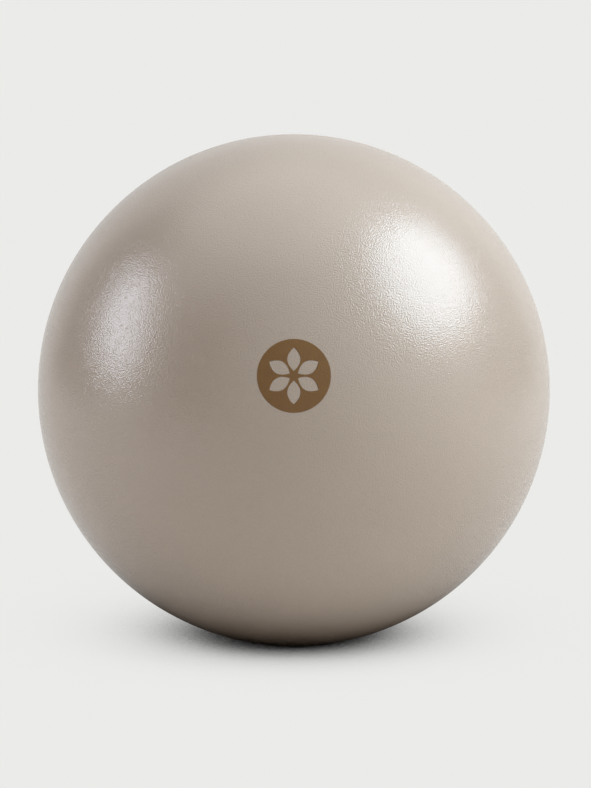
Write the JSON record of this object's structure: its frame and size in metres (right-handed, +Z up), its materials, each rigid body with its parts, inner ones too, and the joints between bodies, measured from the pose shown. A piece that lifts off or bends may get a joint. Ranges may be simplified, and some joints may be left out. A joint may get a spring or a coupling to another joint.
{
  "type": "pilates ball",
  "caption": "Small inflatable exercise ball with a fine-grained matte skin, a round printed emblem on the front and a push-in valve plug at the back.",
  "frame": {"origin": "middle of the small flat where the ball stands on the floor", "axes": "+Z up through the ball's middle, +Y towards the valve at the back, -Y towards the emblem at the front"},
  "size_m": [0.25, 0.25, 0.2488],
  "materials": {
    "skin": "soft PVC, matte with a fine leather grain",
    "valve_seat": "soft PVC, smooth and satin",
    "plug": "polyethylene, moulded, satin",
    "ink": "screen-printed ink, satin"
  },
  "bodies": {
    "ball": {"ball_skin": "skin", "valve_bush": "valve_seat", "emblem_print": "ink"},
    "plug": {"valve_plug": "plug"}
  },
  "joints": [
    {"name": "plug_pull", "type": "slide", "parent": "ball", "child": "plug", "axis": [0, 1, 0], "range_m": [0, 0.03]}
  ]
}
